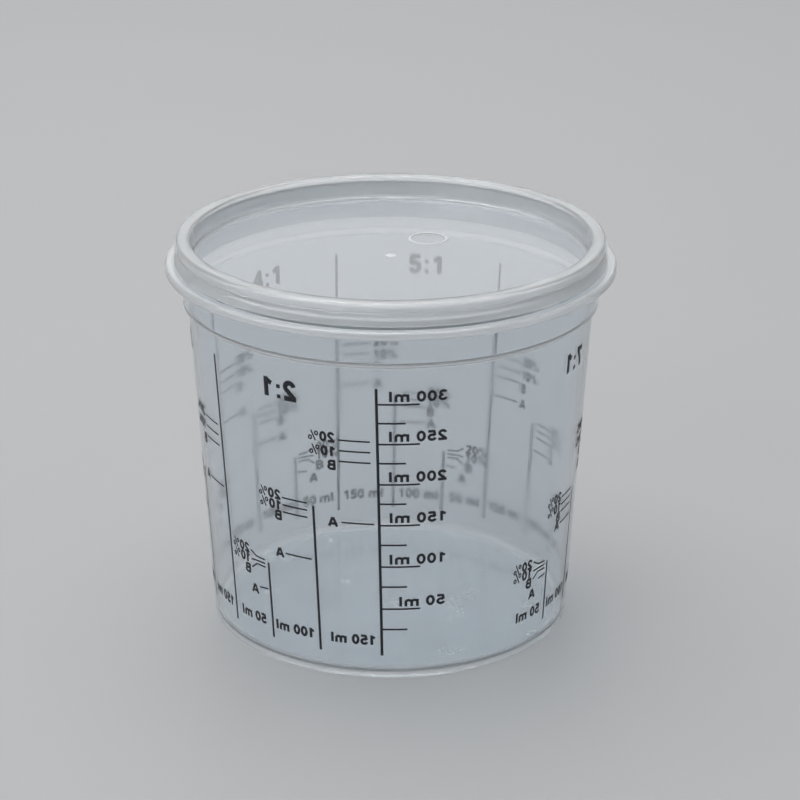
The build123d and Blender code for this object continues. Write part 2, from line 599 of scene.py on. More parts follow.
    def panel_rows(self, edge_radius: float) -> Stations:
        """Circles that cross the flat panel, from those about the axis to those about the ring mark.

        The shift runs from zero to one, and the radius from the panel's edge to the ring's field.
        The circles that pass over the gate dot at the axis lie close together.

        Args:
            edge_radius: radius of the circle that the first row follows on from.

        Returns:
            The rows between the two ends, without the ends themselves.
        """
        reach = math.hypot(*self.ring_mark_place)
        narrowing = edge_radius - self.ring_field
        over_dot = edge_radius / (reach + narrowing)
        half = self.gate_dot_diameter * self.dot_field_share / (reach + narrowing)
        before, over, after = self.panel_steps
        shift = np.concatenate([
            np.linspace(0, over_dot - half, before)[1:-1],
            np.linspace(over_dot - half, over_dot + half, over),
            np.linspace(over_dot + half, 1, after)[1:-1],
        ])
        radius = edge_radius - narrowing * shift
        flat = np.full(len(shift), math.pi)
        height = np.full(len(shift), self.panel_height)
        return Stations(radius, height, flat, flat, np.full(len(shift), int(Zone.FLAT)), shift)

    def gate_dot(self, x: np.ndarray, y: np.ndarray) -> tuple[np.ndarray, np.ndarray, np.ndarray]:
        """A low dome at the axis: the rise times the squared cosine of the quarter turn to its edge.

        Args:
            x: places to the right of the axis.
            y: places behind the axis.

        Returns:
            The height there and its slopes in x and y.
        """
        radius = self.gate_dot_diameter / 2
        distance = np.maximum(np.hypot(x, y), LEAST_HEIGHT)
        quarter = np.clip(distance / radius, 0, 1) * math.pi / 2
        height = self.gate_dot_rise * np.cos(quarter) ** 2
        fall = -self.gate_dot_rise * np.sin(2 * quarter) * math.pi / (2 * radius)
        return height, fall * x / distance, fall * y / distance

    def build(self) -> Piece:
        """Turns the section, with the ring mark and the gate dot on its panel.

        Returns:
            The lid's shell.
        """
        body = rounded_stations(self.underside() + self.skirt() + self.recess_foot(), self.arc_steps)
        body = body.divided(self.longest_step)
        ring = rounded_stations(self.ring_mark(), self.arc_steps, shift=1.0).divided(self.ring_step)
        stations = body.followed_by(self.panel_rows(body.radius[-1])).followed_by(ring)
        self.piece = turned_piece(
            "lid_moulding", stations, self.segments, self.ring_mark_place, self.gate_dot)
        return self.piece

    def dress(self, finishes: Sequence[Material]) -> None:
        """Gives the shell its finishes and ties it to the lid's body.

        Args:
            finishes: one material for each zone, in the order of the zones.
        """
        for finish in finishes:
            self.piece.data.materials.append(finish)
        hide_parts("lid")
        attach(self.piece, "lid")


class Column(IntEnum):
    """The columns of a mixing ratio, by the millilitres of resin that they are for."""

    LARGE = 150
    MIDDLE = 100
    SMALL = 50


# Degrees of a bow for each of its steps
BOW_STEP = 15


def bow(x: float, y: float, wide: float, tall: float, start: float, end: float) -> np.ndarray:
    """An ellipse's arc: its centre plus its half width and height times cosine and sine of the swing.

    Args:
        x: centre, across.
        y: centre, up.
        wide: half width.
        tall: half height.
        start: first angle of the swing, in degrees.
        end: last angle of the swing.

    Returns:
        Points on the arc, one for each step and two for its ends.
    """
    swing = np.radians(np.linspace(start, end, 2 + int(abs(end - start) / BOW_STEP)))
    return np.column_stack([x + wide * np.cos(swing), y + tall * np.sin(swing)])


def bar(*points: tuple[float, float]) -> np.ndarray:
    """A straight or bent line through points."""
    return np.array(points, float)


@dataclass(frozen=True)
class Glyph:
    """A bold plain character as pen lines, in shares of the height of a figure.

    Attributes:
        advance: from its start to the start of the next character.
        bearing: from its start to its first ink.
        lines: centre lines of the pen.
        pen: width of the pen.
    """

    advance: float
    bearing: float
    lines: tuple[np.ndarray, ...]
    pen: float = 0.262


GLYPHS = {
    " ": Glyph(0.39, 0, ()),
    "0": Glyph(0.78, 0.06, (bow(0.39, 0.5, 0.235, 0.41, 90, 465),)),
    "1": Glyph(0.78, 0.12, (bar((0.455, 0), (0.455, 1)), bar((0.46, 0.93), (0.32, 0.8), (0.15, 0.71)))),
    "2": Glyph(0.78, 0.06, (
        np.concatenate([bow(0.38, 0.68, 0.225, 0.23, 172, -32), bar((0.36, 0.34), (0.17, 0.13))]),
        bar((0.05, 0.085), (0.7, 0.085)))),
    "3": Glyph(0.78, 0.06, (
        bow(0.36, 0.715, 0.2, 0.195, 165, -95), bow(0.37, 0.305, 0.24, 0.215, 95, -168))),
    "4": Glyph(0.78, 0.04, (
        bar((0.51, 0), (0.51, 1)), bar((0.49, 0.95), (0.1, 0.33)), bar((0.04, 0.28), (0.72, 0.28)))),
    "5": Glyph(0.78, 0.06, (
        bar((0.2, 0.91), (0.66, 0.91)), bar((0.235, 0.97), (0.165, 0.48)),
        bow(0.37, 0.325, 0.24, 0.24, 145, -165))),
    "6": Glyph(0.78, 0.06, (
        bow(0.39, 0.31, 0.225, 0.22, 90, 465),
        np.concatenate([bow(0.42, 0.56, 0.26, 0.35, 35, 180), bar((0.16, 0.45), (0.165, 0.31))]))),
    "7": Glyph(0.78, 0.06, (
        bar((0.06, 0.905), (0.7, 0.905)), bar((0.6, 0.86), (0.42, 0.6), (0.32, 0.32), (0.27, 0)))),
    ":": Glyph(0.47, 0.13, (bar((0.23, 0), (0.23, 0.2)), bar((0.23, 0.53), (0.23, 0.73))), 0.21),
    "%": Glyph(1.18, 0.06, (
        bow(0.27, 0.745, 0.14, 0.185, 90, 465), bow(0.91, 0.255, 0.14, 0.185, 90, 465),
        bar((0.38, -0.02), (0.8, 1.02))), 0.14),
    "A": Glyph(1.0, 0.02, (
        bar((0.11, 0), (0.47, 0.98)), bar((0.89, 0), (0.53, 0.98)), bar((0.25, 0.3), (0.75, 0.3)))),
    "B": Glyph(1.0, 0.1, (
        bar((0.2, 0), (0.2, 1)),
        np.concatenate([bar((0.2, 0.915)), bow(0.5, 0.72, 0.215, 0.195, 90, -90), bar((0.2, 0.525))]),
        np.concatenate([bar((0.2, 0.525)), bow(0.52, 0.305, 0.25, 0.22, 90, -90), bar((0.2, 0.085))]))),
    "m": Glyph(1.24, 0.1, (
        bar((0.19, 0), (0.19, 0.73)),
        np.concatenate([bow(0.405, 0.44, 0.215, 0.2, 180, 0), bar((0.62, 0))]),
        np.concatenate([bow(0.835, 0.44, 0.215, 0.2, 180, 0), bar((1.05, 0))]))),
    "l": Glyph(0.39, 0.1, (bar((0.195, 0), (0.195, 1)),)),
}


@dataclass
class InkSheet:
    """Thin solid films of ink on the cup's tapered wall, gathered into one mesh.

    A place on the print is an angle from the front and a height. The whole print leans a little on
    the wall, so the true angle grows by the lean for each millimetre below the top of the print.
    """

    cup: Cup
    lean: float = 0.0225
    lean_top: float = 67.6
    gap: float = 0.012
    thickness: float = 0.02
    overlap: float = 0.06
    step: float = 1.0
    solids: list[tuple[np.ndarray, np.ndarray, np.ndarray]] = field(default_factory=list)

    def wrapped(self, angle: np.ndarray, height: np.ndarray, lift: np.ndarray) -> np.ndarray:
        """Points on the wall: radius plus lift, times the sine and minus the cosine of the angle.

        Args:
            angle: angles from the front, on the print.
            height: heights above the foot.
            lift: heights above the underside of the film.

        Returns:
            The points, in the shape of the arguments with x, y and z last.
        """
        radius = self.cup.radius_at(height) + self.gap + lift
        true_angle = np.radians(angle + self.lean * (self.lean_top - height))
        return np.stack([radius * np.sin(true_angle), -radius * np.cos(true_angle), height], axis=-1)

    def stroke(self, places: np.ndarray, width: float, coat: float = 1.0) -> None:
        """Adds an inked line of even width through places on the print.

        The line is cut into short steps. At each step four points stand half the width to either
        side of it, square to the way along, on the film's two faces.

        Args:
            places: angle and height of the line's ends and bends, one row each.
            width: the line's width.
            coat: thickness of its film, as a share of the sheet's.
        """
        ends = np.asarray(places, float)
        flat = np.column_stack([np.radians(ends[:, 0]) * self.cup.radius_at(ends[:, 1]), ends[:, 1]])
        length = np.linalg.norm(np.diff(flat, axis=0), axis=1)
        steps = np.maximum(np.ceil(length / self.step), 1).astype(int)
        marks = np.concatenate([[0], np.cumsum(np.repeat(length / steps, steps))])
        reach = np.concatenate([[0], np.cumsum(length)])
        angle, height = (np.interp(marks, reach, ends[:, k]) for k in (0, 1))
        radius = self.cup.radius_at(height)
        way = np.gradient(np.column_stack([np.radians(angle) * radius, height]), axis=0)
        way /= np.linalg.norm(way, axis=1, keepdims=True)
        aside = way[:, ::-1] * [-width / 2, width / 2]
        sides = np.array([1.0, 1.0, -1.0, -1.0])
        lifts = np.array([0.0, 1.0, 1.0, 0.0]) * self.thickness * coat
        ring_angle = angle[:, None] + np.degrees(aside[:, :1] * sides / radius[:, None])
        ring_height = height[:, None] + aside[:, 1:] * sides
        points = self.wrapped(ring_angle, ring_height, np.broadcast_to(lifts, ring_angle.shape))
        rows = np.arange(len(marks) * 4).reshape(-1, 4)
        after = np.roll(rows, -1, axis=1)
        quads = np.stack([rows[:-1], after[:-1], after[1:], rows[1:]], axis=-1).reshape(-1, 4)
        quads = np.concatenate([quads, rows[:1, ::-1], rows[-1:]])
        self.solids.append((points.reshape(-1, 3), quads.ravel(), np.full(len(quads), 4)))

    def lettering(
        self, text: str, angle: float, height: float, size: float, stretch: float = 1.0
    ) -> None:
        """Adds mirrored lettering that starts at an angle and runs to the left of it.

        Each further stroke of a character has a little more ink, so that no two films that cross
        have their faces at one height.

        Args:
            text: the characters.
            angle: angle at which the first character starts.
            height: height of the baseline.
            size: height of a figure.
            stretch: how much wider than usual it is set.
        """
        radius = self.cup.radius_at(height)
        start = -GLYPHS[text[0]].bearing
        for character in text:
            glyph = GLYPHS[character]
            for number, line in enumerate(glyph.lines):
                x = (start + line[:, 0]) * size * stretch
                places = np.column_stack([angle - np.degrees(x / radius), height + line[:, 1] * size])
                self.stroke(places, glyph.pen * size, 1.0 + number * self.overlap)
            start += glyph.advance

    def piece(self, name: str) -> Piece:
        """Joins the films gathered so far into one mesh, and starts an empty sheet.

        Args:
            name: name of the piece.

        Returns:
            The piece.
        """
        points, corners, counts = zip(*self.solids)
        starts = np.cumsum([0] + [len(p) for p in points[:-1]])
        corners = np.concatenate([c + s for c, s in zip(corners, starts)])
        self.solids = []
        return write_mesh(name, np.concatenate(points), corners, np.concatenate(counts))


class Plan(NamedTuple):
    """Where a column stands and what it holds, as angles to the left of a line.

    Attributes:
        offset: from the ratio's first line to the column's own.
        volume: from that line to the start of the volume at its foot.
        leader: from that line to the far end of a level leader.
        label: from that line to the start of the leader's label.
    """

    offset: float
    volume: float
    leader: float = 0.0
    label: float = 0.0


class Level(NamedTuple):
    """A level leader: the angle at which it starts, and how far above it its label's baseline lies."""

    near: float
    rise: float


class Fan(NamedTuple):
    """A leader that fans out to its label: angles from the column's line, heights from the mark.

    Attributes:
        near: angle at which it starts.
        bend: angle at which it bends, or ends where it has no tip.
        knee: height of the bend.
        tip: height of its far end, or None.
        drop: how far under the mark its label stands.
        pitch: least distance of that label below the one above it.
        label: angle at which the label starts.
        sink: extra drop for each part of resin in the ratio.
        drift: extra angle of the label for each part of resin.
    """

    near: float
    bend: float
    knee: float
    tip: float | None
    drop: float
    pitch: float
    label: float = 8.1
    sink: float = 0.0
    drift: float = 0.0


PLANS = {
    Column.LARGE: Plan(0.0, 1.95, 10.9, 12.0),
    Column.MIDDLE: Plan(19.3, 1.95, 10.2, 10.8),
    Column.SMALL: Plan(36.4, 2.8),
}
LEVELS = {
    "A": Level(1.4, -1.15),
    "B": Level(2.0, -2.1),
    "10%": Level(2.0, -1.4),
    "20%": Level(2.0, -0.65),
}
FANS = {
    "20%": Fan(1.4, 4.9, 0.15, 1.1, -0.3, 0.0, sink=0.06),
    "10%": Fan(1.4, 4.9, 0.0, -0.15, 1.25, 2.15),
    "B": Fan(1.4, 4.9, 0.1, -1.2, 2.9, 2.3),
    "A": Fan(0.9, 4.4, -0.3, None, 2.2, 2.9, label=4.8, drift=0.15),
}


@dataclass
class PrintedScale:
    """The print on the cup's wall: the millilitre scale and six mixing ratios, read from inside.

    The height of a volume comes from the inside of the tapered wall: the radius cubed grows with
    three times the slope times the volume, over pi, from the height where the scale has its zero.
    """

    cup: Cup
    zero_height: float = 6.6
    scale_angle: float = -3.9
    scale_step: int = 25
    scale_end: int = 300
    ratio_angles: tuple[float, ...] = (-3.9, -58.0, -110.5, -163.0, -215.7, -268.3)
    top_height: float = 67.6
    foot_height: float = 5.5
    volume_height: float = 8.0
    column_lowering: float = 0.35
    major_tick: float = 11.7
    minor_tick: float = 7.8
    scale_width: float = 0.6
    tick_width: float = 0.4
    column_width: float = 0.55
    leader_width: float = 0.37
    fan_reach: float = 7.3
    number_start: float = 15.35
    number_lift: float = 0.62
    numbered_drop: float = 0.22
    figure_height: float = 2.3
    label_height: float = 2.2
    number_stretch: float = 1.24
    heading_offset: float = 22.75
    heading_height: float = 4.3
    heading_lift: float = 62.9
    heading_stretch: float = 1.02
    added_share: float = 0.088
    pieces: list[Piece] = field(default_factory=list)

    def height_of(self, millilitres: float) -> float:
        """Height of the mark for a volume.

        Args:
            millilitres: the volume above the scale's zero.

        Returns:
            The height above the foot.
        """
        slope = self.cup.wall_slope
        inner = self.cup.foot_radius - self.cup.wall_thickness
        cubed = (inner + slope * self.zero_height) ** 3 + 3 * slope * millilitres * 1000 / math.pi
        return (cubed ** (1 / 3) - inner) / slope

    def millilitre_scale(self, sheet: InkSheet) -> None:
        """The ticks beside the tall line, every second one longer and with its number.

        Args:
            sheet: the ink.
        """
        angle = self.scale_angle
        for millilitres in range(self.scale_step, self.scale_end + 1, self.scale_step):
            numbered = millilitres % (self.scale_step * 2) == 0
            height = self.height_of(millilitres) - (self.numbered_drop if numbered else 0)
            reach = self.major_tick if numbered else self.minor_tick
            sheet.stroke([(angle, height), (angle + reach, height)], self.tick_width)
            if numbered:
                sheet.lettering(
                    f"{millilitres} ml", self.number_start, height + self.number_lift,
                    self.figure_height, self.number_stretch)

    def ratio(self, sheet: InkSheet, parts: int, angle: float) -> None:
        """One mixing ratio: its heading and its three columns.

        Args:
            sheet: the ink.
            parts: parts of resin to one of hardener.
            angle: angle of the ratio's tall line.
        """
        sheet.lettering(
            f"{parts}:1", angle - self.heading_offset, self.heading_lift, self.heading_height,
            self.heading_stretch)
        for column, plan in PLANS.items():
            self.column(sheet, column, parts, angle - plan.offset)

    def column(self, sheet: InkSheet, column: Column, parts: int, angle: float) -> None:
        """One column: its line, its volume at the foot, and its leaders with their labels.

        A is the resin alone, B is resin and hardener together, and the percentages add thinner.

        Args:
            sheet: the ink.
            column: which column.
            parts: parts of resin to one of hardener.
            angle: angle of the column's line.
        """
        resin = float(column)
        mixed = resin * (1 + 1 / parts)
        added = resin * self.added_share
        volumes = {"A": resin, "B": mixed, "10%": mixed + added, "20%": mixed + added * 2}
        marks = {label: self.height_of(volume) for label, volume in volumes.items()}
        large = column is Column.LARGE
        top = self.top_height if large else marks["20%"] - self.column_lowering
        width = self.scale_width if large else self.column_width
        sheet.stroke([(angle, top), (angle, self.foot_height)], width)
        volume_angle = angle - PLANS[column].volume
        sheet.lettering(f"{int(column)} ml", volume_angle, self.volume_height, self.figure_height)
        if column is Column.SMALL:
            self.fanned_labels(sheet, marks, angle, parts)
        else:
            self.level_labels(sheet, marks, angle, PLANS[column])

    def level_labels(
        self, sheet: InkSheet, marks: dict[str, float], angle: float, plan: Plan
    ) -> None:
        """Level leaders with their labels at the far end, spread so that they don't touch.

        Args:
            sheet: the ink.
            marks: height of each label's mark.
            angle: angle of the column's line.
            plan: the column's plan.
        """
        for label, level in LEVELS.items():
            height = marks[label]
            ends = [(angle - level.near, height), (angle - plan.leader, height)]
            sheet.stroke(ends, self.leader_width)
            sheet.lettering(label, angle - plan.label, height + level.rise, self.label_height)

    def fanned_labels(
        self, sheet: InkSheet, marks: dict[str, float], angle: float, parts: int
    ) -> None:
        """Leaders that fan out to their labels, because the marks lie too close together.

        Args:
            sheet: the ink.
            marks: height of each label's mark.
            angle: angle of the column's line.
            parts: parts of resin in the ratio; the more there are, the closer the marks lie.
        """
        above = math.inf
        for label, fan in FANS.items():
            height = marks[label]
            places = [(angle - fan.near, height), (angle - fan.bend, height + fan.knee)]
            if fan.tip is not None:
                places.append((angle - self.fan_reach, height + fan.tip))
            sheet.stroke(places, self.leader_width)
            above = min(height - fan.drop - parts * fan.sink, above - fan.pitch)
            label_angle = angle - fan.label - parts * fan.drift
            sheet.lettering(label, label_angle, above, self.label_height)

    def build(self) -> list[Piece]:
        """Prints the millilitre scale and each ratio as a piece of its own.

        Returns:
            The pieces.
        """
        sheet = InkSheet(self.cup)
        self.millilitre_scale(sheet)
        self.pieces = [sheet.piece("print_millilitres")]
        for parts, angle in enumerate(self.ratio_angles, start=2):
            self.ratio(sheet, parts, angle)
            self.pieces.append(sheet.piece(f"print_ratio_{parts}_to_1"))
        return self.pieces

    def dress(self, ink: Material) -> None:
        """Gives the print its ink and ties it to the cup's body.

        Args:
            ink: the material.
        """
        for piece in self.pieces:
            piece.data.materials.append(ink)
            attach(piece, "cup")


class Bench:
    """Places and links the nodes of one node tree."""

    def __init__(self, tree: bpy.types.NodeTree) -> None:
        """Works on this tree."""
        self.tree = tree

    def place(self, kind: str, inputs: dict | None = None, **settings: object) -> bpy.types.Node:
        """Adds a node.

        Args:
            kind: the node's type.
            inputs: a value or a socket to link, for each input by its name or number.
            settings: values of the node's properties.

        Returns:
            The node.
        """
        node = self.tree.nodes.new(kind)
        for name, value in settings.items():
            setattr(node, name, value)
        for name, value in (inputs or {}).items():
            if isinstance(value, Socket):
                self.tree.links.new(value, node.inputs[name])
            else:
                node.inputs[name].default_value = value
        return node

    def sum(self, operation: str, *values: object, clamp: bool = False) -> Socket:
        """The result of a Math node."""
        inputs = dict(enumerate(values))
        return self.place("ShaderNodeMath", inputs, operation=operation, use_clamp=clamp).outputs[0]

    def vector(self, operation: str, inputs: dict) -> Socket:
        """The vector result of a Vector Math node."""
        return self.place("ShaderNodeVectorMath", inputs, operation=operation).outputs["Vector"]

    def length(self, vector: Socket) -> Socket:
        """The length of a vector."""
        return self.place("ShaderNodeVectorMath", {0: vector}, operation="LENGTH").outputs["Value"]

    def noise(self, vector: Socket, scale: float, detail: float = 2.0) -> Socket:
        """The value of a Noise Texture on a vector."""
        inputs = {"Vector": vector, "Scale": scale, "Detail": detail}
        return self.place("ShaderNodeTexNoise", inputs).outputs["Fac"]

    def between(self, share: Socket, low: object, high: object) -> Socket:
        """A number between two, by a share."""
        inputs = {"Value": share, "To Min": low, "To Max": high}
        return self.place("ShaderNodeMapRange", inputs).outputs["Result"]

    def window(self, value: Socket, low: float, high: float) -> Socket:
        """Zero below low, one above high, and a smooth rise between them."""
        inputs = {"Value": value, "From Min": low, "From Max": high}
        node = self.place("ShaderNodeMapRange", inputs, interpolation_type="SMOOTHSTEP")
        return node.outputs["Result"]

    def blend(self, share: object, first: object, second: object) -> Socket:
        """A colour between two, by a share."""
        inputs = {0: share, 6: first, 7: second}
        return self.place("ShaderNodeMix", inputs, data_type="RGBA").outputs[2]

    def either(self, share: Socket, first: bpy.types.Node, second: bpy.types.Node) -> Socket:
        """The first node's shader where the share is zero, and the second's where it is one."""
        inputs = {0: share, 1: first.outputs[0], 2: second.outputs[0]}
        return self.place("ShaderNodeMixShader", inputs).outputs["Shader"]


def blank_material(name: str) -> tuple[Material, Bench]:
    """A new material with no nodes.

    Args:
        name: name of the material.

    Returns:
        The material and the bench for its nodes.
    """
    material = bpy.data.materials.new(name)
    material.use_nodes = True
    material.node_tree.nodes.clear()
    return material, Bench(material.node_tree)


def new_group(name: str, inputs: dict[str, object], outputs: dict[str, str]) -> bpy.types.NodeTree:
    """An empty shader group with named sockets.

    Args:
        name: name of the group.
        inputs: name of each input and its default, a number or a colour.
        outputs: name of each output and its socket type.

    Returns:
        The group's tree, with no nodes in it.
    """
    group = bpy.data.node_groups.new(name, "ShaderNodeTree")
    for label, value in inputs.items():
        kind = "NodeSocketFloat" if isinstance(value, float) else "NodeSocketColor"
        socket = group.interface.new_socket(label, in_out="INPUT", socket_type=kind)
        socket.default_value = value
    for label, kind in outputs.items():
        group.interface.new_socket(label, in_out="OUTPUT", socket_type=kind)
    return group


@dataclass(frozen=True)
class MouldedSkin:
    """The skin of a thin clear moulding: flow lines from the gate, clouding, hairlines and scuffs.

    Patterns lie in millimetres on Object coordinates. A scale is in noise cells for each
    millimetre, a window holds the noise values between which a mask rises from zero to one, depths
    and heights count in heights of the flow lines, and haze is added roughness.
    """

    # Flow lines: noise cells for each radian round the axis, scale away from it, and the slow swell
    lanes: float = 24.0
    lane_scale: float = 0.05
    swell_scale: float = 0.035
    swell_height: float = 6.0

    # Clouding
    cloud_scale: float = 0.06
    cloud_window: tuple[float, float] = (0.35, 0.7)

    # Hairlines: three sets by their direction, laid on level faces and rolled round the walls
    level_from: float = 0.7
    wrap_radius: float = 42.0
    line_angles: tuple[float, ...] = (0.5, -0.8, 1.9)
    line_scale: tuple[float, float] = (0.045, 4.0)
    line_layer: float = 7.0
    line_window: tuple[float, float] = (0.69, 0.76)
    line_depth: float = 0.25
    line_haze: float = 0.15
    worn_scale: float = 0.08
    worn_window: tuple[float, float] = (0.42, 0.62)

    # Scuffs: flecks inside patches
    patch_scale: float = 0.09
    patch_window: tuple[float, float] = (0.6, 0.68)
    fleck_scale: float = 1.1
    fleck_window: tuple[float, float] = (0.52, 0.6)
    scuff_haze: float = 0.35

    def flow(self, bench: Bench, place: Socket, level: Socket, rise: Socket) -> Socket:
        """Flow lines, as noise that is fine round the axis and long away from it, and the swell.

        Args:
            bench: the group's bench.
            place: place in millimetres.
            level: the same with no height.
            rise: its height.

        Returns:
            The height that they give the surface.
        """
        outward = bench.sum("MULTIPLY", bench.sum("ADD", bench.length(level), rise), self.lane_scale)
        lane = bench.vector("MULTIPLY_ADD", {
            0: bench.vector("NORMALIZE", {0: level}),
            1: (self.lanes, self.lanes, 0),
            2: bench.place("ShaderNodeCombineXYZ", {"Z": outward}).outputs[0],
        })
        swell = bench.noise(place, self.swell_scale, detail=1.0)
        swell = bench.sum("MULTIPLY", swell, self.swell_height)
        return bench.sum("ADD", bench.noise(lane, 1.0, detail=3.0), swell)

    def hairlines(self, bench: Bench, place: Socket, level: Socket, facing: Socket) -> Socket:
        """Fine scratches, as noise laid on the surface, drawn out and cut off near its peaks.

        A level face takes the noise as it lies, and a wall takes it rolled round the axis.

        Args:
            bench: the group's bench.
            place: place in millimetres.
            level: the same with no height.
            facing: the face's normal.

        Returns:
            One on a scratch and zero beside it.
        """
        parts = bench.place("ShaderNodeSeparateXYZ", {0: place}).outputs
        upward = bench.place("ShaderNodeSeparateXYZ", {0: facing}).outputs["Z"]
        flat = bench.sum("GREATER_THAN", bench.sum("ABSOLUTE", upward), self.level_from)
        turn = bench.sum("ARCTAN2", parts["X"], parts["Y"])
        around = bench.sum("MULTIPLY", turn, self.wrap_radius)
        rolled = bench.place("ShaderNodeCombineXYZ", {"X": around, "Y": parts["Z"]}).outputs[0]
        laid = bench.place(
            "ShaderNodeMix", {0: flat, 4: rolled, 5: level}, data_type="VECTOR").outputs[1]
        lines = 0.0
        for number, angle in enumerate(self.line_angles):
            turned = bench.place("ShaderNodeMapping", {
                "Vector": laid,
                "Location": (0, 0, number * self.line_layer),
                "Rotation": (0, 0, angle),
                "Scale": (*self.line_scale, 1),
            })
            streak = bench.window(bench.noise(turned.outputs[0], 1.0, detail=1.0), *self.line_window)
            lines = bench.sum("MAXIMUM", lines, streak)
        worn = bench.window(bench.noise(place, self.worn_scale), *self.worn_window)
        return bench.sum("MULTIPLY", lines, worn)

    def scuffs(self, bench: Bench, place: Socket) -> Socket:
        """Small worn flecks, where two noises are both high.

        Args:
            bench: the group's bench.
            place: place in millimetres.

        Returns:
            One on a fleck and zero beside it.
        """
        patch = bench.window(bench.noise(place, self.patch_scale, detail=3.0), *self.patch_window)
        fleck = bench.window(bench.noise(place, self.fleck_scale, detail=3.0), *self.fleck_window)
        return bench.sum("MULTIPLY", patch, fleck)

    def group(self) -> bpy.types.NodeTree:
        """The skin as a node group.

        Returns:
            The group, with the strengths as inputs, and colour, roughness and height as outputs.
        """
        white = (1.0, 1.0, 1.0, 1.0)
        group = new_group(
            "moulded_skin",
            {"Colour": white, "Worn Colour": white, "Clear": 0.1, "Cloudy": 0.2,
             "Flow": 1.0, "Hairlines": 1.0, "Scuffs": 1.0},
            {"Colour": "NodeSocketColor", "Roughness": "NodeSocketFloat", "Height": "NodeSocketFloat"},
        )
        bench = Bench(group)
        given = bench.place("NodeGroupInput").outputs
        coordinates = bench.place("ShaderNodeTexCoord").outputs
        place = bench.vector("SCALE", {0: coordinates["Object"], "Scale": 1 / MM})
        level = bench.vector("MULTIPLY", {0: place, 1: (1, 1, 0)})
        rise = bench.place("ShaderNodeSeparateXYZ", {0: place}).outputs["Z"]

        flow = bench.sum("MULTIPLY", self.flow(bench, place, level, rise), given["Flow"])
        lines = self.hairlines(bench, place, level, coordinates["Normal"])
        lines = bench.sum("MULTIPLY", lines, given["Hairlines"])
        scuffs = bench.sum("MULTIPLY", self.scuffs(bench, place), given["Scuffs"])
        cloud = bench.window(bench.noise(place, self.cloud_scale, detail=4.0), *self.cloud_window)

        rough = bench.between(cloud, given["Clear"], given["Cloudy"])
        rough = bench.sum("ADD", rough, bench.sum("MULTIPLY", lines, self.line_haze))
        rough = bench.sum("ADD", rough, bench.sum("MULTIPLY", scuffs, self.scuff_haze), clamp=True)
        height = bench.sum("SUBTRACT", flow, bench.sum("MULTIPLY", lines, self.line_depth))
        colour = bench.blend(scuffs, given["Colour"], given["Worn Colour"])
        bench.place("NodeGroupOutput", {"Colour": colour, "Roughness": rough, "Height": height})
        return group


@dataclass(frozen=True)
class PlasticFinish:
    """Milky clear plastic, as one zone of a moulding shows it.

    Attributes:
        name: name of the material.
        colour: colour that the plastic lends to what is seen through it and on it.
        clarity: share of the light that goes through instead of being scattered at the skin.
        clear: roughness where the skin is clearest.
        cloudy: roughness where it is cloudiest.
        flow: strength of the flow lines.
        hairlines: strength of the fine scratches.
        scuffs: strength of the worn flecks.
        worn_gain: how much lighter a fleck is.
        relief: height of the bump in millimetres.
        refraction: index of refraction.
        passed: share of the lamps' light that one face lets through.
        glow: share of the scattered light that travels inside the plastic before it comes out.
        glow_reach: how far it travels, in millimetres.
    """

    name: str
    colour: tuple[float, float, float]
    clarity: float
    clear: float
    cloudy: float
    flow: float = 1.0
    hairlines: float = 1.0
    scuffs: float = 1.0
    worn_gain: float = 1.08
    relief: float = 0.008
    refraction: float = 1.49
    passed: tuple[float, float, float] = (0.80, 0.82, 0.83)
    glow: float = 0.0
    glow_reach: float = 1.5

    def material(self, skin: bpy.types.NodeTree) -> Material:
        """Makes the material: the skin drives its roughness and bump, and its colour where it is worn.

        To shadow rays the plastic is a plain clear film, so that the lamps light what is inside.

        Args:
            skin: the group of the moulded skin.

        Returns:
            The material.
        """
        material, bench = blank_material(self.name)
        worn = (min(1.0, channel * self.worn_gain) for channel in self.colour)
        detail = bench.place("ShaderNodeGroup", node_tree=skin)
        strengths = {
            "Colour": (*self.colour, 1.0), "Worn Colour": (*worn, 1.0),
            "Clear": self.clear, "Cloudy": self.cloudy,
            "Flow": self.flow, "Hairlines": self.hairlines, "Scuffs": self.scuffs}
        for label, value in strengths.items():
            detail.inputs[label].default_value = value
        bump = bench.place("ShaderNodeBump", {
            "Height": detail.outputs["Height"], "Distance": self.relief * MM, "Strength": 1.0})
        shader = bench.place("ShaderNodeBsdfPrincipled", {
            "Base Color": detail.outputs["Colour"] if self.scuffs else (*self.colour, 1.0),
            "Roughness": detail.outputs["Roughness"],
            "Normal": bump.outputs["Normal"],
            "Transmission Weight": self.clarity,
            "IOR": self.refraction,
            "Subsurface Weight": self.glow,
            "Subsurface Radius": (1.0, 1.0, 1.0),
            "Subsurface Scale": self.glow_reach * MM,
        })
        lit = bench.place("ShaderNodeBsdfTransparent", {"Color": (*self.passed, 1.0)})
        shaded = bench.place("ShaderNodeLightPath").outputs["Is Shadow Ray"]
        surface = bench.either(shaded, shader, lit)
        bench.place("ShaderNodeOutputMaterial", {"Surface": surface})
        return material


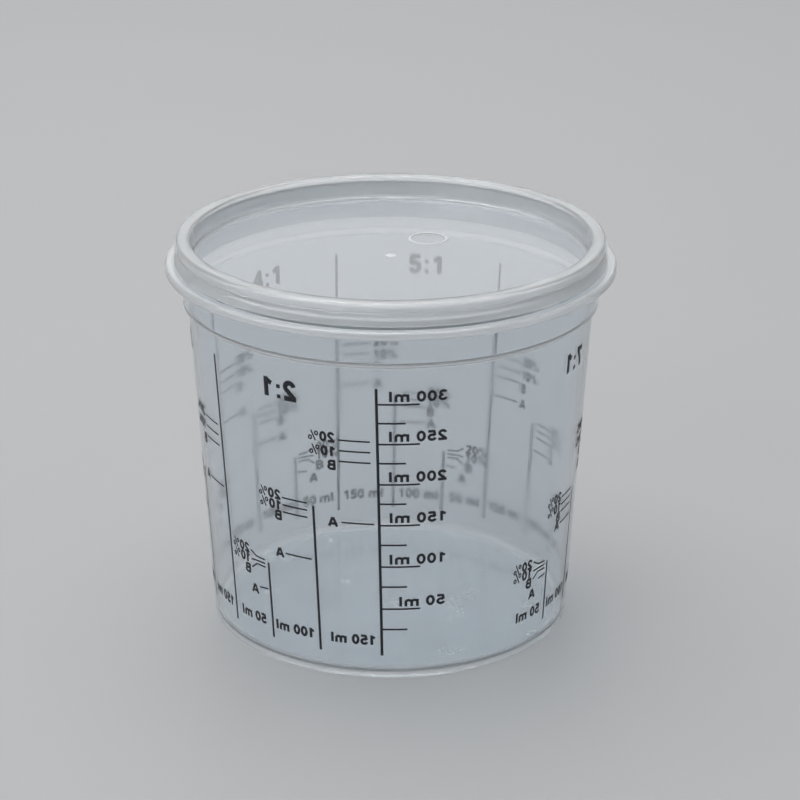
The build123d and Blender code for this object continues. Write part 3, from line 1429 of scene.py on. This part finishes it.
@dataclass(frozen=True)
class InkFinish:
    """Thin black ink, with a faint mottle and a dull sheen."""

    name: str = "scale_ink_film"
    colour: tuple[float, float, float] = (0.015, 0.016, 0.022)
    thin_colour: tuple[float, float, float] = (0.035, 0.037, 0.045)
    roughness: tuple[float, float] = (0.38, 0.55)
    refraction: float = 1.38
    mottle_scale: float = 2.2
    mottle_window: tuple[float, float] = (0.35, 0.75)

    def material(self) -> Material:
        """Makes the material: two inks mixed by noise, and roughness from the same noise.

        Returns:
            The material.
        """
        material, bench = blank_material(self.name)
        coordinates = bench.place("ShaderNodeTexCoord").outputs["Object"]
        place = bench.vector("SCALE", {0: coordinates, "Scale": 1 / MM})
        share = bench.window(bench.noise(place, self.mottle_scale, detail=3.0), *self.mottle_window)
        colour = bench.blend(share, (*self.colour, 1.0), (*self.thin_colour, 1.0))
        rough = bench.between(share, *self.roughness)
        shader = bench.place("ShaderNodeBsdfPrincipled", {
            "Base Color": colour, "Roughness": rough, "IOR": self.refraction})
        bench.place("ShaderNodeOutputMaterial", {"Surface": shader.outputs["BSDF"]})
        return material


@dataclass(frozen=True)
class Lamp:
    """A soft square lamp: place and aim in metres, side in metres, power in watts."""

    name: str
    place: tuple[float, float, float]
    aim: tuple[float, float, float]
    side: float
    power: float
    colour: tuple[float, float, float] = (1.0, 1.0, 1.0)

    def hang(self) -> None:
        """Adds the lamp to the scene, turned to its aim."""
        light = bpy.data.lights.new(self.name, "AREA")
        light.size = self.side
        light.energy = self.power
        light.color = self.colour
        lamp = bpy.data.objects.new(self.name, light)
        lamp.location = self.place
        way = Vector(self.aim) - Vector(self.place)
        lamp.rotation_euler = way.to_track_quat("-Z", "Y").to_euler()
        bpy.context.scene.collection.objects.link(lamp)


@dataclass
class Studio:
    """Plain pale floor, soft lamps and the photograph's viewpoint."""

    floor_reach: float = 20.0
    floor_drop: float = 0.00005
    floor_colour: tuple[float, float, float] = (0.5, 0.5, 0.505)
    floor_roughness: float = 0.55
    mottle_scale: float = 9.0
    mottle_share: float = 0.97
    haze_colour: tuple[float, float, float] = (0.47, 0.475, 0.48)
    fade: tuple[float, float] = (0.45, 1.7)
    room_colour: tuple[float, float, float] = (0.95, 0.975, 1.0)
    room_strength: float = 0.42
    camera_place: tuple[float, float, float] = (0.0, -0.547632, 0.261782)
    camera_turn: tuple[float, float, float] = (68.6954, -0.1487, -0.1584)
    lens: float = 119.9575
    sensor: float = 36.0
    lamps: tuple[Lamp, ...] = (
        Lamp("overhead_softbox", (-0.2, 0.25, 1.15), (0, 0, 0.05), 1.4, 11.0),
        Lamp("back_softbox", (0.1, 1.9, 0.95), (0, 0, 0.08), 1.3, 1.6),
        Lamp("front_fill", (-0.9, -0.9, 0.7), (0, 0, 0.04), 0.8, 1.8),
    )

    def seen_directly(self, bench: Bench) -> Socket:
        """One for rays from the camera, off a gloss or through clear plastic, and zero for others.

        Args:
            bench: the bench of the material that asks.

        Returns:
            The share.
        """
        path = bench.place("ShaderNodeLightPath").outputs
        seen = bench.sum("MAXIMUM", path["Is Camera Ray"], path["Is Glossy Ray"])
        return bench.sum("MAXIMUM", seen, path["Is Transmission Ray"])

    def floor(self) -> None:
        """The floor, a hair under the foot, with a faint unevenness of tone that fades far away."""
        reach = self.floor_reach / MM
        corners = np.array([(-reach, -reach), (reach, -reach), (reach, reach), (-reach, reach)])
        points = np.column_stack([corners, np.full(4, -self.floor_drop / MM)])
        floor = write_mesh("studio_floor", points, np.arange(4), np.array([4]))
        material, bench = blank_material("studio_floor")
        place = bench.place("ShaderNodeTexCoord").outputs["Object"]
        tone = bench.noise(place, self.mottle_scale, detail=4.0)
        darker = (channel * self.mottle_share for channel in self.floor_colour)
        colour = bench.blend(tone, (*self.floor_colour, 1.0), (*darker, 1.0))
        shader = bench.place(
            "ShaderNodeBsdfPrincipled", {"Base Color": colour, "Roughness": self.floor_roughness})
        far = bench.window(bench.length(place), *self.fade)
        far = bench.sum("MULTIPLY", far, self.seen_directly(bench))
        haze = bench.place("ShaderNodeEmission", {"Color": (*self.haze_colour, 1.0)})
        bench.place("ShaderNodeOutputMaterial", {"Surface": bench.either(far, shader, haze)})
        floor.data.materials.append(material)

    def room(self) -> None:
        """Even light from all round, and behind the floor's far end its own tone."""
        world = bpy.data.worlds.new("studio")
        world.use_nodes = True
        world.node_tree.nodes.clear()
        bench = Bench(world.node_tree)
        light = bench.place(
            "ShaderNodeBackground", {"Color": (*self.room_colour, 1.0), "Strength": self.room_strength})
        haze = bench.place("ShaderNodeBackground", {"Color": (*self.haze_colour, 1.0)})
        seen = bench.place("ShaderNodeLightPath").outputs["Is Camera Ray"]
        bench.place("ShaderNodeOutputWorld", {"Surface": bench.either(seen, light, haze)})
        bpy.context.scene.world = world

    def camera(self) -> None:
        """The camera where the photograph's stood, looking along +Y and down at the cup."""
        lens = bpy.data.cameras.new("camera")
        lens.lens = self.lens
        lens.sensor_width = self.sensor
        camera = bpy.data.objects.new("camera", lens)
        camera.location = self.camera_place
        camera.rotation_euler = Euler([math.radians(turn) for turn in self.camera_turn])
        bpy.context.scene.collection.objects.link(camera)
        bpy.context.scene.camera = camera

    def build(self) -> None:
        """Sets the whole studio up."""
        self.floor()
        self.room()
        self.camera()
        for lamp in self.lamps:
            lamp.hang()
        bpy.context.scene.view_settings.view_transform = "Standard"


CUP_FINISHES = (
    PlasticFinish("cup_wall_plastic", (0.88, 0.92, 0.95), 0.93, 0.04, 0.09, scuffs=0.0, hairlines=0.4),
    PlasticFinish("cup_rim_plastic", (0.93, 0.95, 0.96), 0.68, 0.12, 0.2, 0.3, 0.2, 0.0, glow=1.0),
    PlasticFinish("cup_floor_plastic", (0.92, 0.94, 0.96), 0.86, 0.08, 0.16, 0.5, 0.6, 0.6),
)
LID_FINISHES = (
    PlasticFinish("lid_wall_plastic", (0.93, 0.95, 0.96), 0.84, 0.08, 0.14, 0.3, 0.2, 0.0, glow=1.0),
    PlasticFinish("lid_crest_plastic", (0.93, 0.95, 0.96), 0.76, 0.07, 0.14, 0.3, 0.2, 0.0, glow=1.0),
    PlasticFinish("lid_panel_plastic", (0.92, 0.94, 0.96), 0.92, 0.02, 0.04, 0.1, 0.3, 0.0),
    PlasticFinish("lid_mark_plastic", (0.84, 0.86, 0.87), 0.15, 0.3, 0.4, 0.0, 0.0, 0.0),
)


def main() -> None:
    """Builds the cup, the lid, the print and the studio, in that order."""
    logging.basicConfig(level=logging.INFO, format="%(message)s")
    skin = MouldedSkin().group()
    cup = Cup()
    lid = Lid(cup)
    scale = PrintedScale(cup)
    pieces = [cup.build(), lid.build(), *scale.build()]
    cup.dress([finish.material(skin) for finish in CUP_FINISHES])
    lid.dress([finish.material(skin) for finish in LID_FINISHES])
    scale.dress(InkFinish().material())
    Studio().build()


if __name__ == "__main__":
    main()
